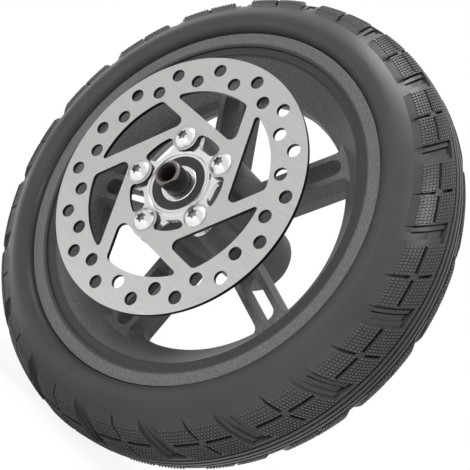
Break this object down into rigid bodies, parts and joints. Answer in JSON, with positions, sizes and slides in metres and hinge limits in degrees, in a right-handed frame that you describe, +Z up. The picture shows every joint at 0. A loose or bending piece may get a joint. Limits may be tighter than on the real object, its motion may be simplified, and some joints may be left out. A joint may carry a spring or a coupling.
{
  "type": "scooter rear wheel",
  "caption": "Small scooter rear wheel: solid tyre on a cast spoked rim, slotted brake rotor and a sealed bearing hub on a fixed axle.",
  "frame": {"origin": "on the axle, midway between the two lips of the rim", "axes": "+Y along the axle towards the plain side, brake rotor on the -Y side, +Z up"},
  "size_m": [0.22, 0.098, 0.22],
  "materials": {
    "tyre_rubber": "moulded solid rubber, matt",
    "powder_coated_alloy": "cast aluminium, satin black powder coat with machined hub faces",
    "stainless_rotor": "ground stainless sheet",
    "zinc_bolt": "bright zinc plated steel",
    "black_oxide_steel": "black oxide steel, turned",
    "spacer_alloy": "plain aluminium tube",
    "bearing_steel": "ground bearing steel",
    "ball_steel": "polished bearing balls",
    "cage_steel": "cold formed steel",
    "seal_rubber": "black nitrile rubber"
  },
  "bodies": {
    "axle_group": {"axle": "black_oxide_steel", "spacer_tube": "spacer_alloy", "brake_bearing_inner_ring": "bearing_steel", "plain_bearing_inner_ring": "bearing_steel"},
    "wheel": {"tyre": "tyre_rubber", "wheel_casting": "powder_coated_alloy", "brake_rotor": "stainless_rotor", "rotor_bolts": "zinc_bolt", "brake_bearing_outer_ring": "bearing_steel", "plain_bearing_outer_ring": "bearing_steel", "brake_bearing_front_seal": "seal_rubber", "brake_bearing_rear_seal": "seal_rubber", "plain_bearing_front_seal": "seal_rubber", "plain_bearing_rear_seal": "seal_rubber"},
    "brake_bearing_cage": {"brake_bearing_balls": "ball_steel", "brake_bearing_front_cage": "cage_steel", "brake_bearing_rear_cage": "cage_steel"},
    "plain_bearing_cage": {"plain_bearing_balls": "ball_steel", "plain_bearing_front_cage": "cage_steel", "plain_bearing_rear_cage": "cage_steel"}
  },
  "joints": [
    {"name": "wheel_spin", "type": "hinge", "parent": "axle_group", "child": "wheel", "pos_m": [0, 0, 0], "axis": [0, 1, 0], "continuous": true},
    {"name": "brake_bearing_cage_spin", "type": "hinge", "parent": "axle_group", "child": "brake_bearing_cage", "pos_m": [0, 0, 0], "axis": [0, 1, 0], "continuous": true},
    {"name": "plain_bearing_cage_spin", "type": "hinge", "parent": "axle_group", "child": "plain_bearing_cage", "pos_m": [0, 0, 0], "axis": [0, 1, 0], "continuous": true}
  ],
  "couplings": [
    {"joint": "brake_bearing_cage_spin", "follows": "wheel_spin", "ratio": 0.61905},
    {"joint": "plain_bearing_cage_spin", "follows": "wheel_spin", "ratio": 0.61905}
  ]
}
